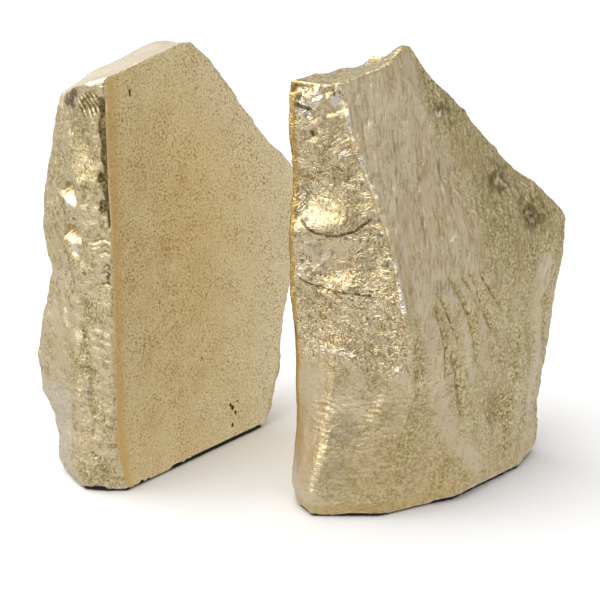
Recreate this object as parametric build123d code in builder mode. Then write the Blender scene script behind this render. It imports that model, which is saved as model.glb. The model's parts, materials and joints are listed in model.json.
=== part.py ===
"""A pair of split-rock book ends.

Each book end is a hollow brass sand casting with one flat face for the books. A steel plate let
into its underside closes the core hole, held by four countersunk screws in cast bosses. A black
rubber pad fills the shallow recess under the plate and stands just proud of the casting's rim.

X runs along the row of books, Y goes from the front of the shelf to the back, and Z is up. The
origin is under the middle of the pair, on the shelf.
"""
import os
from math import hypot
from build123d import *

# ---- the pair on the shelf ----
BOOK_GAP = 67.0             # clear room between the two flat faces
STAGGER = 46.0              # how much further back the right book end stands
LEFT_FACE_X = -36.0         # the left flat face
FRONT_Y = -89.3             # front foot of the left flat face

# ---- the stack under each casting ----
PAD_THICKNESS = 3.0
PAD_PROUD = 0.8             # the pad holds the casting's rim this far off the shelf
PLATE_THICKNESS = 3.0
RIM = 2.0                   # casting left outside the pad's recess
PAD_LEDGE = 4.0             # ledge above the pad's edge, outside the plate
PLATE_LEDGE = 3.5           # ledge above the plate's edge, outside the hollow
CLEARANCE = 0.3             # between the edge of the pad or plate and its recess
WALL = 5.0                  # casting wall, measured level

PLATE_INSET = RIM + PAD_LEDGE
HOLLOW_INSET = PLATE_INSET + PLATE_LEDGE
PLATE_TOP = PAD_THICKNESS + PLATE_THICKNESS

# ---- screws and their bosses ----
SCREW_DIAMETER = 4.0
SCREW_LENGTH = 16.0
HEAD_DIAMETER = 8.0
HEAD_DEPTH = 2.0
SOCKET_ACROSS_FLATS = 2.5
SOCKET_DEPTH = 1.4
PLATE_HOLE = 4.5
BOSS_RADIUS = 6.0
BOSS_HEIGHT = 20.0
TAPPED_DEPTH = 16.0

# ---- the two slopes that form the top of each rock ----
# The front slope: its height over the flat face's front foot, how much it climbs per mm towards
# the back, and how much it falls per mm away from the flat face.
LEFT_FRONT_SLOPE = (201.0, 0.19, 0.27)
RIGHT_FRONT_SLOPE = (200.5, 0.14, 0.05)
SHOULDER_FALL = 1.02        # the back slope falls this much per mm towards the back,
SHOULDER_TILT = 0.07        # and this much per mm away from the flat face
SHOULDER_START = (64.0, 201.0)      # a (depth, height) point on it, in the flat face

# Level sections of each rock. A row gives the height, then (depth into the shelf) of the flat
# face's front edge, then (distance from the flat face, depth) of the front bulge, front corner,
# front belly, rear belly and rear corner, then the depth of the flat face's back edge.
LEFT_LEVELS = (
    (PAD_PROUD, -1.0, (18, -9), (45, 2.5), (58, 40), (61, 88), (55, 110), 107),
    (29, -3.6, (18, -9.5), (49, 3.5), (59, 41), (61, 91), (55, 118), 121),
    (38, -3.6, (20, -10), (58.5, 4), (62, 42), (62, 92), (56, 120), 122),
    (56, -3.7, (22, -9), (60.5, 4), (63, 43), (63, 93), (57, 123), 122.6),
    (80, -4.3, (22, -7), (55, 4), (61, 44), (62, 95), (56, 129), 126.5),
    (101, -4.8, (20, -6), (47.5, 4), (58, 44), (60, 98), (55, 134), 128),
    (122, -4.8, (20, -7), (54, 4), (57, 44), (56, 100), (53, 138), 129),
    (150, -5.9, (18, -8), (48, 4), (50, 44), (46, 102), (44, 132), 130),
    (182, -6.0, (15, -8), (41, 4), (40, 42), (33, 84), (31, 124), 131),
    (218, -4.5, (12, -6), (26, 4), (24, 40), (20, 80), (19, 120), 131),
)
RIGHT_LEVELS = (
    (PAD_PROUD, -1.5, (20, -11.5), (46, 7), (63, 40), (68, 92), (62, 117), 106),
    (28, -0.6, (22, -10), (51, 8), (65, 42), (67.5, 98), (61, 121), 118),
    (60, -1.5, (24, -6), (60, 11), (66.5, 46), (66.5, 100), (61, 134), 123),
    (80, -3.0, (26, -4), (61, 7), (66, 46), (66, 102), (61, 137), 127),
    (100, -6.0, (26, -4), (57, 7), (64, 46), (65, 106), (62, 141), 128),
    (120, -6.5, (24, -4), (51.5, 7), (59, 46), (60, 108), (61, 143), 129),
    (152, -6.8, (20, -4), (39, 6), (46, 44), (42, 105), (41, 131), 130),
    (184, -7.2, (15, -4), (28, 4), (35, 40), (33, 84), (31, 122), 131),
    (218, -4.5, (8, -3), (14, 4), (19, 36), (19, 72), (18, 118), 131),
)
CORE_ROWS = (1, 3, 5, 7, -1)        # the sand core follows only these rows of a rock
CORE_TOP_DROP = 8.0                 # metal left above the core

# Shell-shaped hollows left where flakes came off: (distance from the flat face, depth, height)
# of the middle, the way it faces, the radius of the hollow, and how deep it bites.
TOWARDS_FRONT = (0, -1, 0)
UPWARDS = (0, 0, 1)
LEFT_SCARS = (
    ((24, -6.5, 168), TOWARDS_FRONT, 60, 2.0),
    ((30, -6.0, 116), TOWARDS_FRONT, 50, 2.5),
)
RIGHT_SCARS = (
    ((23, -4.0, 154), TOWARDS_FRONT, 70, 3.5),
    ((31, -3.2, 122), TOWARDS_FRONT, 60, 2.5),
    ((6, 27, 204), UPWARDS, 62, 3.8),
)
# Screw places: (distance from the flat face, depth)
LEFT_SCREWS = ((12, 8), (38, 24), (44, 94), (12, 93))
RIGHT_SCREWS = ((12, 7), (42, 29), (50, 102), (12, 94))


def outline(level):
    """The corners of one level section, front edge of the flat face first."""
    height, front, *corners, back = level
    return [(0.0, front), *corners, (0.0, back)]


def inset(points, distance):
    """The same closed outline with every side moved inwards."""
    sides = []
    for (ax, ay), (bx, by) in zip(points, points[1:] + points[:1]):
        length = hypot(bx - ax, by - ay)
        across, along = (bx - ax) / length, (by - ay) / length
        sides.append((ax - along * distance, ay + across * distance, across, along))
    corners = []
    for (ax, ay, adx, ady), (bx, by, bdx, bdy) in zip(sides[-1:] + sides[:-1], sides):
        reach = ((bx - ax) * bdy - (by - ay) * bdx) / (adx * bdy - ady * bdx)
        corners.append((ax + adx * reach, ay + ady * reach))
    return corners


class Side:
    """Where one book end stands: which way it faces, and where its flat face is."""

    def __init__(self, name, face_x, outward, front_y, levels, front_slope, scars, screws):
        self.name = name
        self.face_x = face_x
        self.outward = outward          # +1 or -1: the way from the flat face into the rock
        self.front_y = front_y
        self.levels = levels
        self.front_slope = front_slope
        self.scars = scars
        self.screws = screws

    def place(self, point):
        """A (distance from the flat face, depth) point in the pair's own frame."""
        return (self.face_x + self.outward * point[0], self.front_y + point[1])

    def places(self, points):
        return [self.place(point) for point in points]

    def slopes(self, drop):
        """The two planes that cut the top, lowered by drop."""
        top, climb, tilt = self.front_slope
        x, y = self.place((0.0, 0.0))
        front = Plane(origin=(x, y, top - drop), z_dir=(tilt * self.outward, -climb, 1.0))
        x, y = self.place((0.0, SHOULDER_START[0]))
        back = Plane(
            origin=(x, y, SHOULDER_START[1] - drop),
            z_dir=(SHOULDER_TILT * self.outward, SHOULDER_FALL, 1.0),
        )
        return front, back


def sand_core(side):
    """The hollow inside the casting, a plain taper above the plate's ledge."""
    base = outline(side.levels[0])
    with BuildPart() as core:
        with BuildSketch(Plane.XY.offset(PLATE_TOP)):
            with BuildLine():
                Polyline(*side.places(inset(base, HOLLOW_INSET)), close=True)
            make_face()
        for row in CORE_ROWS:
            level = side.levels[row]
            with BuildSketch(Plane.XY.offset(level[0])):
                with BuildLine():
                    Polyline(*side.places(inset(outline(level), WALL)), close=True)
                make_face()
        loft(ruled=True)
        for slope in side.slopes(CORE_TOP_DROP):
            split(bisect_by=slope, keep=Keep.BOTTOM)
    return core.part


def casting(side):
    """The brass rock: rough faceted outside, open underneath, with four screw bosses."""
    base = outline(side.levels[0])
    core = sand_core(side)
    with BuildPart() as rock:
        for level in side.levels:
            with BuildSketch(Plane.XY.offset(level[0])):
                with BuildLine():
                    Polyline(*side.places(outline(level)), close=True)
                make_face()
        loft(ruled=True)
        for slope in side.slopes(0.0):
            split(bisect_by=slope, keep=Keep.BOTTOM)
        for (*middle, height), way, radius, bite in side.scars:
            with Locations(Vector(*side.place(middle), height) + Vector(way) * (radius - bite)):
                Sphere(radius, mode=Mode.SUBTRACT)
        add(core, mode=Mode.SUBTRACT)
        for start, thickness, edge in (
            (0.0, PAD_THICKNESS, RIM),
            (PAD_THICKNESS, PLATE_THICKNESS, PLATE_INSET),
        ):
            with BuildSketch(Plane.XY.offset(start)):
                with BuildLine():
                    Polyline(*side.places(inset(base, edge)), close=True)
                make_face()
            extrude(amount=thickness, mode=Mode.SUBTRACT)
        with BuildSketch(Plane.XY.offset(PLATE_TOP)):
            with Locations(*side.places(side.screws)):
                Circle(BOSS_RADIUS)
        extrude(amount=BOSS_HEIGHT)
        with BuildSketch(Plane.XY.offset(PLATE_TOP)):
            with Locations(*side.places(side.screws)):
                Circle(SCREW_DIAMETER / 2)
        extrude(amount=TAPPED_DEPTH, mode=Mode.SUBTRACT)
    return rock


def base_plate(side):
    """The steel plate in the underside, with a countersunk hole for each screw."""
    base = outline(side.levels[0])
    with BuildPart() as plate:
        with BuildSketch(Plane.XY.offset(PAD_THICKNESS)):
            with BuildLine():
                Polyline(*side.places(inset(base, PLATE_INSET + CLEARANCE)), close=True)
            make_face()
        extrude(amount=PLATE_THICKNESS)
        with BuildSketch(Plane.XY.offset(PAD_THICKNESS)):
            with Locations(*side.places(side.screws)):
                Circle(PLATE_HOLE / 2)
        extrude(amount=PLATE_THICKNESS, mode=Mode.SUBTRACT)
        for x, y in side.places(side.screws):
            with Locations((x, y, PAD_THICKNESS)):
                Cone(
                    HEAD_DIAMETER / 2,
                    SCREW_DIAMETER / 2,
                    HEAD_DEPTH,
                    align=(Align.CENTER, Align.CENTER, Align.MIN),
                    mode=Mode.SUBTRACT,
                )
    return plate


def base_screws(side):
    """Four countersunk socket screws, flush with the underside of the plate."""
    with BuildPart() as screws:
        for x, y in side.places(side.screws):
            with BuildSketch(Plane((x, y, 0.0), x_dir=(1, 0, 0), z_dir=(0, -1, 0))):
                with BuildLine():
                    Polyline(
                        (0.0, PAD_THICKNESS),
                        (HEAD_DIAMETER / 2, PAD_THICKNESS),
                        (SCREW_DIAMETER / 2, PAD_THICKNESS + HEAD_DEPTH),
                        (SCREW_DIAMETER / 2, PAD_THICKNESS + SCREW_LENGTH),
                        (0.0, PAD_THICKNESS + SCREW_LENGTH),
                        close=True,
                    )
                make_face()
            revolve(axis=Axis((x, y, 0.0), (0, 0, 1)))
            with BuildSketch(Plane.XY.offset(PAD_THICKNESS)):
                with Locations((x, y)):
                    RegularPolygon(SOCKET_ACROSS_FLATS / 2, 6, major_radius=False)
            extrude(amount=SOCKET_DEPTH, mode=Mode.SUBTRACT)
    return screws


def rubber_pad(side):
    """The black rubber pad that the book end stands on."""
    base = outline(side.levels[0])
    with BuildPart() as sheet:
        with BuildSketch(Plane.XY):
            with BuildLine():
                Polyline(*side.places(inset(base, RIM + CLEARANCE)), close=True)
            make_face()
        extrude(amount=PAD_THICKNESS)
    return sheet


SIDES = (
    Side(
        "left", LEFT_FACE_X, -1, FRONT_Y,
        LEFT_LEVELS, LEFT_FRONT_SLOPE, LEFT_SCARS, LEFT_SCREWS,
    ),
    Side(
        "right", LEFT_FACE_X + BOOK_GAP, 1, FRONT_Y + STAGGER,
        RIGHT_LEVELS, RIGHT_FRONT_SLOPE, RIGHT_SCARS, RIGHT_SCREWS,
    ),
)
PIECES = (
    ("casting", casting),
    ("base_plate", base_plate),
    ("base_screws", base_screws),
    ("rubber_pad", rubber_pad),
)

os.makedirs("parts", exist_ok=True)
for side in SIDES:
    for piece_name, make_piece in PIECES:
        piece = make_piece(side)
        piece.part.label = f"{side.name}_{piece_name}"
        export_step(piece.part, f"parts/{piece.part.label}.step")
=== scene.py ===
"""Looks of the split-rock book ends: rough cast-brass skins over the CAD castings, rubber pads,
plates and screws, a pale floor and soft studio light. Lengths are in millimetres until they
reach a mesh, which is in metres."""
import json
from itertools import product

import bpy
import numpy as np
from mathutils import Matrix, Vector
from mathutils.bvhtree import BVHTree

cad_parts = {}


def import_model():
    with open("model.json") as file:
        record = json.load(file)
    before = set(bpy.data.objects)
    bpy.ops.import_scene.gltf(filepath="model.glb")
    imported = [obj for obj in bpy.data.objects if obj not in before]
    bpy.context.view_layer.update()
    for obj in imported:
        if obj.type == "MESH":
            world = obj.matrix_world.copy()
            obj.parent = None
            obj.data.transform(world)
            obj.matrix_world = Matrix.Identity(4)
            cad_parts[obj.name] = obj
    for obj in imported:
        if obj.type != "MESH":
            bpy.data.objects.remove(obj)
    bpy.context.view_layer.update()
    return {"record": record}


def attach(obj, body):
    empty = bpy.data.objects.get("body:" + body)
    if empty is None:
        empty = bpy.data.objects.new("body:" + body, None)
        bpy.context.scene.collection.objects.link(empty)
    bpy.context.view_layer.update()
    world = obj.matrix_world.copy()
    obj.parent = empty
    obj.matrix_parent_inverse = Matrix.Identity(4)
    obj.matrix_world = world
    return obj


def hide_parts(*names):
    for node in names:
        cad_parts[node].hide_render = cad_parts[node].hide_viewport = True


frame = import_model()

MM = 0.001
VOXEL = 0.75                # spacing of the rock skins' points before thinning
ROCK_TRIANGLES = 190_000    # the most that a rock skin keeps
WEAR_LEVELS = 8             # steps in how far the rock's edges are worn round
WEAR_ROUNDS = 30            # how many times the worn edges are smoothed
PAD_VOXEL = 0.5             # spacing of the pad skins' points before thinning
PAD_TRIANGLES = 24_000      # the most that a pad skin keeps
PAD_SPREAD = 1.0            # how far the pad's foot is squeezed out under the rim
CLEAR_OF_FACE = 0.5         # where a ray starts, out from the face that it leaves
FACE_MOUNT_DEPTH = 55.0     # how far behind the face's front foot its mount is
GROUND_GLOW = 0.64          # how bright the ground looks in the brass
GROUND_LIFT = 0.05          # how far the reflected ground stands over the floor
COMB_LEAN = 17.0            # how far the right rock's combed streaks lean, in degrees
LIP = 11.0                  # how far above its lip a shell-shaped scoop is fully deep
RIM_FOOT, RIM_TOP = 0.8, 2.9    # the part of the castings' lowest rim that is chipped


# ---------------------------------------------------------------- noise, in millimetres

def lattice(cell, seed):
    """A repeatable random number from 0 to 1 for each whole-number cell."""
    c = cell.astype(np.int64)
    h = c[..., 0] * 374761393 + c[..., 1] * 668265263 + c[..., 2] * 974711 + seed * 144269
    h &= 0xFFFFFFFF
    h = ((h ^ (h >> 13)) * 1274126177) & 0xFFFFFFFF
    h ^= h >> 16
    h = (h * 2246822519) & 0xFFFFFFFF
    return (h ^ (h >> 15)).astype(float) / 0xFFFFFFFF


def turned(points, seed):
    """The points in a frame turned by the seed, so that no two layers share their grid."""
    a, b = 0.7 + seed * 1.3, 0.4 + seed * 2.1
    turn_z = np.array([[np.cos(a), -np.sin(a), 0], [np.sin(a), np.cos(a), 0], [0, 0, 1]])
    turn_x = np.array([[1, 0, 0], [0, np.cos(b), -np.sin(b)], [0, np.sin(b), np.cos(b)]])
    return points @ (turn_z @ turn_x).T


def noise(points, size, seed):
    """Smooth noise from -1 to 1 with lumps about this size."""
    q = turned(points, seed) / size
    low = np.floor(q)
    f = q - low
    w = f * f * f * (f * (f * 6 - 15) + 10)
    total = np.zeros(len(q))
    for step in product((0, 1), repeat=3):
        share = np.prod(np.where(step, w, 1 - w), axis=1)
        total += share * lattice(low + step, seed)
    return total * 2 - 1


def fractal(points, size, octaves, seed):
    """Noise with finer noise on it, each layer half the size and strength of the last."""
    total = np.zeros(len(points))
    for octave in range(octaves):
        total += 0.5 ** octave * noise(points, size / 2 ** octave, seed + octave)
    return total


def chips(points, size, seed):
    """Flat facets meeting at creases, like a chipped or crumpled surface: each cell is a
    tilted plane, and the highest plane wins."""
    return chips_and_seams(points, size, seed)[0]


def chips_and_seams(points, size, seed):
    """The chips' heights, and how far each point stands from the seam with the next facet."""
    q = turned(points, seed) / size
    low = np.floor(q)
    best = np.full(len(q), -9.0)
    second = best.copy()
    for step in product((-1, 0, 1), repeat=3):
        cell = low + step
        middle = cell + np.stack([lattice(cell, seed + n) for n in (1, 2, 3)], 1)
        tilt = np.stack([lattice(cell, seed + n) for n in (4, 5, 6)], 1) - 0.5
        away = q - middle
        height = 1.1 * (away * tilt).sum(1) - (away ** 2).sum(1) * 0.9
        second = np.maximum(second, np.minimum(best, height))
        best = np.maximum(best, height)
    return best, best - second


def ease(low, high, value):
    """0 at low and 1 at high, with an even curve between them; low may be above high."""
    t = np.clip((value - low) / (high - low), 0, 1)
    return t * t * (3 - 2 * t)


# ---------------------------------------------------------------- rock skins

class Side:
    """One book end: its name, the way from its flat face into the rock, and its own frame,
    with u the distance from the flat face, y the depth and z the height."""

    def __init__(self, name, outward):
        self.name = name
        self.outward = outward
        mounts = {mount["name"]: mount for mount in frame["record"]["mounts"]}
        x, y, _ = mounts[f"{name}_book_face"]["pos_m"]
        self.face_x = x / MM
        self.front_y = y / MM - FACE_MOUNT_DEPTH

    def own(self, points):
        """Points in metres, in the shared frame, to this side's (u, y, z) in millimetres."""
        p = points / MM
        return np.stack(
            [(p[:, 0] - self.face_x) * self.outward, p[:, 1] - self.front_y, p[:, 2]], 1
        )

    def shared(self, points):
        """Points in this side's own millimetres to metres in the shared frame."""
        return np.stack(
            [
                points[:, 0] * self.outward + self.face_x,
                points[:, 1] + self.front_y,
                points[:, 2],
            ],
            1,
        ) * MM


def placed(name, data):
    """A new object in the scene."""
    obj = bpy.data.objects.new(name, data)
    bpy.context.collection.objects.link(obj)
    return obj


def applied(obj):
    """The object's mesh with its modifiers applied and removed."""
    mesh = bpy.data.meshes.new_from_object(
        obj.evaluated_get(bpy.context.evaluated_depsgraph_get())
    )
    obj.modifiers.clear()
    old = obj.data
    obj.data = mesh
    bpy.data.meshes.remove(old)
    return mesh


def remeshed(side, piece, name, voxel):
    """A copy of one of the side's CAD pieces, remeshed with points this far apart."""
    cad = bpy.data.objects[f"{side.name}_{piece}"].data
    skin = placed(f"{side.name}_{name}", cad.copy())
    remesh = skin.modifiers.new("remesh", "REMESH")
    remesh.mode = "VOXEL"
    remesh.voxel_size = voxel * MM
    applied(skin)
    return skin


def thinned(skin, most_triangles):
    """Thins the skin's mesh to this many triangles, shades it smooth and drops its materials."""
    triangles = sum(len(p.vertices) - 2 for p in skin.data.polygons)
    thin = skin.modifiers.new("thin", "DECIMATE")
    thin.ratio = min(1.0, most_triangles / triangles)
    mesh = applied(skin)
    mesh.polygons.foreach_set("use_smooth", np.ones(len(mesh.polygons), bool))
    mesh.materials.clear()


def vectors(collection, key):
    """The positions or normals of a mesh as rows of three."""
    values = np.empty(len(collection) * 3, np.float32)
    collection.foreach_get(key, values)
    return values.reshape(-1, 3).astype(float)


def own_places(side, mesh):
    """The mesh's points and normals in the side's own frame."""
    normals = vectors(mesh.vertex_normals, "vector")
    normals[:, 0] *= side.outward
    return side.own(vectors(mesh.vertices, "co")), normals


def move(side, mesh, own):
    """Moves the mesh's points to these places in the side's own frame."""
    mesh.vertices.foreach_set("co", side.shared(own).astype(np.float32).ravel())
    mesh.update()


def outside_share(cad, points):
    """1 for a point on the outside of the casting, 0 for one in the hollow or the recesses."""
    tree = BVHTree.FromPolygons(
        [v.co for v in cad.vertices], [tuple(p.vertices) for p in cad.polygons]
    )
    open_faces = []
    for polygon in cad.polygons:
        start = polygon.center + polygon.normal * CLEAR_OF_FACE * MM
        open_faces.append(tree.ray_cast(start, polygon.normal)[0] is None)
    shares = np.zeros(len(points))
    for i, point in enumerate(points):
        nearest = tree.find_nearest(Vector(point))
        shares[i] = open_faces[nearest[2]]
    return shares


def wear_round(skin, wear):
    """Smooths the skin where wear is above 0, most where it is 1."""
    group = skin.vertex_groups.new(name="wear")
    for level in range(1, WEAR_LEVELS + 1):
        chosen = np.nonzero(np.round(wear * WEAR_LEVELS) == level)[0]
        group.add([int(i) for i in chosen], level / WEAR_LEVELS, "REPLACE")
    smooth = skin.modifiers.new("smooth", "SMOOTH")
    smooth.factor = 0.5
    smooth.iterations = WEAR_ROUNDS
    smooth.vertex_group = "wear"
    applied(skin)
    skin.vertex_groups.clear()


def rock_skin(side, relief):
    """The casting with its real surface: remeshed, rounded at the edges by wear, and given relief.
    """
    node = f"{side.name}_casting"
    skin = remeshed(side, "casting", "rock", VOXEL)
    points = vectors(skin.data.vertices, "co")
    outside = outside_share(bpy.data.objects[node].data, points)
    wear_round(skin, outside * ease(1.5, 5.0, side.own(points)[:, 2]))

    own, marks = relief(*own_places(side, skin.data), outside)
    move(side, skin.data, own)
    for name, values in marks.items():
        layer = skin.data.attributes.new(name, "FLOAT", "POINT")
        layer.data.foreach_set("value", values.astype(np.float32))
    thinned(skin, ROCK_TRIANGLES)
    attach(skin, f"{side.name}_book_end")
    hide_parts(node)
    return skin


def oval(a, b, place, radii):
    """1 in the middle of an oval of the map (a, b), falling to 0 at its rim."""
    away = ((a - place[0]) / radii[0]) ** 2 + ((b - place[1]) / radii[1]) ** 2
    return np.clip(1 - away, 0, 1) ** 2


def left_settled(own):
    """The left rock's points moved a little: its top is lower, its back swells, and its front
    foot and outer edge shift."""
    u, y, z = own.T
    moved = own.copy()
    high = ease(170, 192, z)
    moved[:, 2] += 1.8 * high * oval(u, y, (24, 52), (14, 18))
    moved[:, 2] -= 2.0 * high * oval(u, y, (18, 12), (22, 26))
    moved[:, 2] -= 2.0 * high * oval(u, y, (0, 54), (20, 9))
    moved[:, 2] -= 3.5 * high * oval(u, y, (35, 0), (16, 24))
    middle = ease(45, 75, z) * ease(165, 140, z)
    moved[:, 1] += 4.0 * middle * ease(100, 124, y)
    low = ease(60, 20, z) * ease(0, 20, z)
    moved[:, 1] -= 2.6 * low * ease(100, 115, y)
    front = ease(25, 0, y)
    moved[:, 1] -= 1.8 * front * ease(40, 8, z) * ease(2, 14, u)
    lower_half = ease(110, 70, z) * ease(8, 20, z)
    moved[:, 1] -= 1.6 * front * lower_half * ease(14, 2, u)
    moved[:, 1] += 1.6 * front * ease(14, 0, z) * ease(9, 0, u)
    outer = ease(28, 45, u)
    moved[:, 0] += 1.6 * outer * ease(20, 0, abs(z - 145))
    moved[:, 0] += 1.8 * outer * ease(22, 0, abs(z - 62))
    moved[:, 0] -= 2.4 * outer * ease(36, 14, z)
    return moved


def right_settled(own):
    """The right rock's points moved a little: its top dips at the flat face and rises behind
    it, and its front foot spreads."""
    u, y, z = own.T
    moved = own.copy()
    high = ease(160, 195, z)
    moved[:, 2] -= 5.0 * high * oval(u, y, (2, 54), (20, 24))
    moved[:, 2] += 3.2 * high * oval(u, y, (22, 50), (15, 24))
    moved[:, 2] -= 2.0 * high * oval(u, y, (30, 66), (24, 16))
    moved[:, 2] -= 1.6 * high * oval(u, y, (10, 10), (26, 26))
    moved[:, 2] += 2.0 * ease(115, 125, y) * ease(100, 130, z)
    moved[:, 1] -= 4.5 * ease(30, 0, y) * ease(55, 10, z) * ease(-2, 10, u)
    return moved


def pad_skin(side, settled, seed):
    """The rubber pad as a hand-trimmed sheet marked by wear: ragged at its edge and dimpled."""
    node = f"{side.name}_rubber_pad"
    pad = remeshed(side, "rubber_pad", "pad_skin", PAD_VOXEL)
    own, normals = own_places(side, pad.data)
    edge = np.hypot(normals[:, 0], normals[:, 1])
    push = edge * (0.15 + 0.25 * noise(own, 3.0, seed) + 0.15 * noise(own, 1.2, seed + 1))
    push += edge * PAD_SPREAD * ease(1.0, 0.7, own[:, 2])
    push -= (1 - edge) * 0.12 * ease(0.2, 0.7, noise(own, 4.0, seed + 2))
    own = settled(own) + normals * push[:, None]
    own[:, 2] = np.maximum(own[:, 2], 0)
    move(side, pad.data, own)
    thinned(pad, PAD_TRIANGLES)
    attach(pad, f"{side.name}_book_end")
    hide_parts(node)
    return pad


class Face:
    """One face of a rock laid out flat, with how far across and how far up each point is and
    how much of it belongs to the face. It gathers relief, bright spots that are painted
    highlights and partly rubbed polish, dark spots that are patina and partly painted shade, and
    olive, speckled patches."""

    def __init__(self, own, across, share):
        self.own = own
        self.across = own[:, across]
        self.up = own[:, 2]
        self.share = share
        self.push = np.zeros(len(own))
        # bright: painted highlights and glints, partly standing for rubbed polish
        self.bright = np.zeros(len(own))
        # dark marks: patina in pits and grooves, and in places painted shade or painted dark
        # reflection
        self.tarnish = np.zeros(len(own))
        self.olive = np.zeros(len(own))

    def spot(self, place, radii, lean=0.0):
        """1 in the middle of an oval, falling to 0 at its rim; lean turns it, in degrees."""
        a, b = self.across - place[0], self.up - place[1]
        c, s = np.cos(np.radians(lean)), np.sin(np.radians(lean))
        away = ((a * c + b * s) / radii[0]) ** 2 + ((b * c - a * s) / radii[1]) ** 2
        return np.clip(1 - away, 0, 1) ** 2

    def line(self, path, width):
        """1 along a line through these places, falling to 0 this far to either side."""
        nearest = np.full(len(self.up), 1e9)
        for (a0, b0), (a1, b1) in zip(path, path[1:]):
            da, db = a1 - a0, b1 - b0
            along = ((self.across - a0) * da + (self.up - b0) * db) / (da * da + db * db)
            along = np.clip(along, 0, 1)
            away = (self.across - a0 - along * da) ** 2 + (self.up - b0 - along * db) ** 2
            nearest = np.minimum(nearest, away)
        return np.clip(1 - nearest / width ** 2, 0, 1) ** 2

    def mark(self, share, **amounts):
        """Adds this share of each point to push, bright, tarnish or olive, by these amounts."""
        for name, amount in amounts.items():
            setattr(self, name, getattr(self, name) + amount * share)

    def scoop(self, lip, height):
        """A shell-shaped scoop: 0 at its lip, 1 a little above it, and easing to 0 at its top
        and its ends."""
        lip_a, lip_z = np.array(lip, float).T
        above = (self.up - np.interp(self.across, lip_a, lip_z)) / height
        ends = ease(0, 4, self.across - lip_a[0])
        ends *= ease(0, 4, lip_a[-1] - self.across)
        step = LIP / height
        return ease(0, step, above) * ease(1.0, step, above) * ends

    def ripples(self, spacing, lean, seed, waver=1.5):
        """Wavy parallel ridges from -1 to 1; with no lean they lie level."""
        c, s = np.cos(np.radians(lean)), np.sin(np.radians(lean))
        phase = 2 * np.pi * (self.up * c + self.across * s) / spacing
        return np.sin(phase + waver * 2 * noise(self.own, spacing * 4, seed))


class Relief:
    """The relief of one rock's outside: what both rocks share, then each one's own features."""

    def __init__(self, own, normals, outside, seed):
        self.own, self.normals, self.outside = own, normals, outside
        u, _, z = own.T
        self.flat = outside * ease(0.75, 0.95, -normals[:, 0]) * ease(3.0, 1.0, u)
        above_foot = ease(0.8, 6.0, z)
        self.rough = outside * (1 - self.flat) * above_foot
        self.face = Face(own, 1, self.flat)
        self.front = Face(own, 0, self.rough * ease(0.35, 0.75, -normals[:, 1]))
        self.side = Face(own, 1, self.rough * ease(0.35, 0.75, normals[:, 0]))
        self.combed = np.zeros(len(own))
        self.gold = np.zeros(len(own))
        self.level = np.zeros(len(own))
        # smooth parts; where this runs high the rock's colour also turns grey-lilac, a painted
        # sheen standing for the white room seen in them
        self.calm = ease(0.45, 0.75, normals[:, 2])
        push = 1.3 * noise(own, 34, seed)
        large, large_gap = chips_and_seams(own, 13, seed + 3)
        small, small_gap = chips_and_seams(own, 6, seed + 7)
        push += 1.1 * large + 0.5 * small
        push += 0.4 * noise(own, 8, seed + 11)
        push += 0.25 * fractal(own, 3.0, 2, seed + 15)
        self.push = self.rough * push * (1 - 0.6 * self.calm)
        busy = ease(-0.1, 0.4, noise(own, 18, seed + 25))
        seams = 0.55 * ease(0.06, 0.01, large_gap)
        seams += 0.4 * ease(0.08, 0.02, small_gap)
        self.front.tarnish += 0.35 * seams * busy
        self.front.olive += 1.2 * seams * busy
        self.push += self.flat * 0.07 * fractal(own, 2.4, 2, seed + 20)

    def cut(self, place, facing, reach):
        """A flat chipped facet: what stands above a plane through this place is taken off."""
        away = self.own - place
        facing = np.array(facing) / np.linalg.norm(facing)
        near = ease(reach, reach * 0.8, np.linalg.norm(away, axis=1))
        over = np.clip(away @ facing, 0, None) / np.clip(self.normals @ facing, 0.35, 1)
        self.push -= near * over * self.outside

    def bulge_above_foot(self, amount):
        """Rounds the rock's lowest edge by letting the stone swell just above it."""
        z = self.own[:, 2]
        swell = ease(0.8, 9.0, z) * ease(45.0, 9.0, z)
        self.push += amount * self.outside * (1 - self.flat) * swell

    def finished(self, settled, chip, seed):
        """The moved points and the surface marks, with the foot's rim chipped from below."""
        marks = {"flat": self.flat, "combed": self.combed, "gold": self.gold}
        marks["calm"], marks["level"] = self.calm, self.level
        bright, tarnish, olive = 0.0, 0.0, 0.0
        for face in (self.face, self.front, self.side):
            self.push += face.share * face.push
            bright += face.share * face.bright
            tarnish += face.share * face.tarnish
            olive += face.share * face.olive
        bright *= 0.35 + 0.65 * ease(-0.3, 0.3, noise(self.own, 3.5, seed + 2))
        marks["bright"] = np.clip(bright, 0, 1)
        marks["tarnish"] = np.clip(tarnish, 0, 1)
        marks["olive"] = np.clip(olive, 0, 1)
        own = settled(self.own) + self.normals * self.push[:, None]
        rim = np.clip(RIM_TOP - self.own[:, 2], 0, None) / (RIM_TOP - RIM_FOOT)
        level = self.own * (1, 1, 0)
        lift = 0.5 * noise(level, 11, seed) + 0.4 * noise(level, 3.5, seed + 1)
        lift = ease(-0.1, 0.5, lift + 1.2 * ease(25, 75, self.own[:, 1]))
        own[:, 2] += np.clip(chip * lift, 0, RIM_TOP - RIM_FOOT - 0.2) * np.clip(rim, 0, 1)
        return own, marks


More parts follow.
